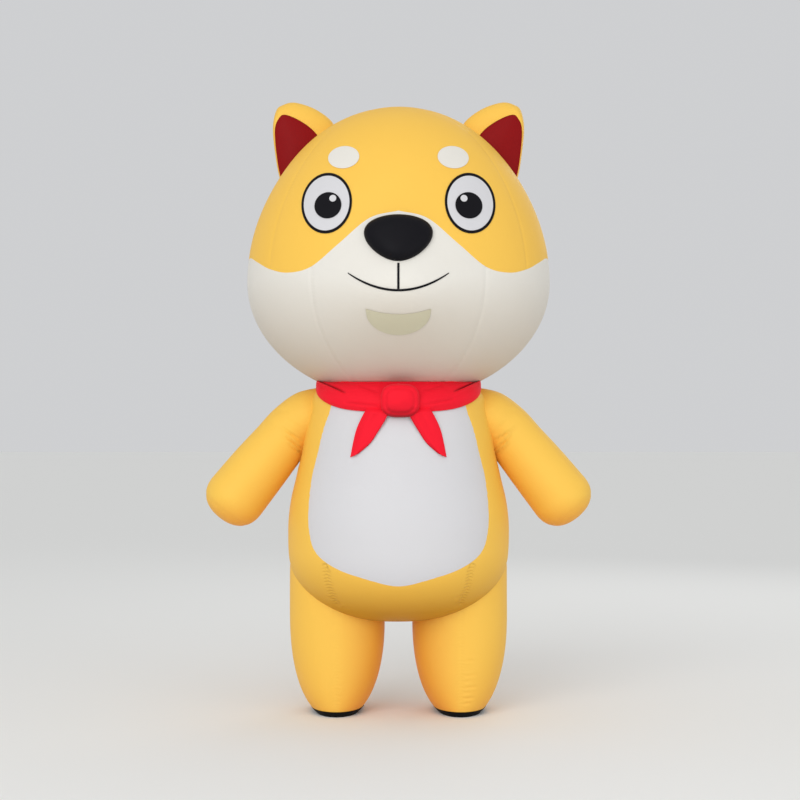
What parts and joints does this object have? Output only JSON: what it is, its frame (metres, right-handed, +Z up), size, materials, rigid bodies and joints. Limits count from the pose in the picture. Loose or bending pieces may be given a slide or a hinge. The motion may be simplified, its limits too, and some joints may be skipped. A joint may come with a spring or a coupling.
{
  "type": "inflatable dog mascot costume",
  "caption": "Inflated, hollow dog mascot costume standing on its own soles, with stub arms, small ears, a red neckerchief and a closed back zip.",
  "frame": {"origin": "on the floor, under the middle of the costume's box", "axes": "+Z up, -Y the way the face looks, +X the costume's own left"},
  "size_m": [1.6492, 1.2342, 2.6125],
  "materials": {
    "yellow_cloth": "PU-coated polyester taffeta, satin",
    "cream_cloth": "PU-coated polyester taffeta, satin",
    "white_cloth": "PU-coated polyester taffeta, satin",
    "black_cloth": "coated polyester, satin",
    "sole_cloth": "coated oxford cloth, matte",
    "red_cloth": "polyester plain weave, soft",
    "dark_red_cloth": "PU-coated polyester taffeta, satin",
    "window_mesh": "knitted polyester mesh",
    "zip_tape": "woven polyester tape with a nylon coil",
    "zip_metal": "cast zinc, plated"
  },
  "bodies": {
    "costume": {"arm_back_L": "yellow_cloth", "arm_back_R": "yellow_cloth", "arm_cap_L": "yellow_cloth", "arm_cap_R": "yellow_cloth", "arm_front_L": "yellow_cloth", "arm_front_R": "yellow_cloth", "belly_panel": "white_cloth", "brow_L": "cream_cloth", "brow_R": "cream_cloth", "ear_back_L": "yellow_cloth", "ear_back_R": "yellow_cloth", "ear_front_L": "dark_red_cloth", "ear_front_R": "dark_red_cloth", "eye_rim_L": "black_cloth", "eye_rim_R": "black_cloth", "eye_white_L": "white_cloth", "eye_white_R": "white_cloth", "glint_L": "white_cloth", "glint_R": "white_cloth", "head_back_L": "yellow_cloth", "head_back_R": "yellow_cloth", "head_cheek_L": "cream_cloth", "head_cheek_R": "cream_cloth", "head_crown_front": "yellow_cloth", "head_muzzle": "cream_cloth", "head_side_L": "yellow_cloth", "head_side_R": "yellow_cloth", "head_side_low_L": "cream_cloth", "head_side_low_R": "cream_cloth", "leg_inner_L": "yellow_cloth", "leg_inner_R": "yellow_cloth", "leg_outer_L": "yellow_cloth", "leg_outer_R": "yellow_cloth", "nose": "black_cloth", "philtrum": "black_cloth", "pupil_L": "black_cloth", "pupil_R": "black_cloth", "scarf_band": "red_cloth", "scarf_knot": "red_cloth", "scarf_tail_L": "red_cloth", "scarf_tail_R": "red_cloth", "smile": "black_cloth", "sole_L": "sole_cloth", "sole_R": "sole_cloth", "torso_back_L": "yellow_cloth", "torso_back_R": "yellow_cloth", "torso_front_low": "yellow_cloth", "torso_gusset": "yellow_cloth", "torso_side_front_L": "yellow_cloth", "torso_side_front_R": "yellow_cloth", "vision_window": "window_mesh", "zip_slider": "zip_metal", "zip_tape": "zip_tape"},
    "zip_pull": {"zip_pull": "zip_metal"}
  },
  "joints": [
    {"name": "pull_swing", "type": "hinge", "parent": "costume", "child": "zip_pull", "pos_m": [0, 0.42534, 1.20649], "axis": [1, 0, 0], "range_deg": [-3, 165]}
  ]
}
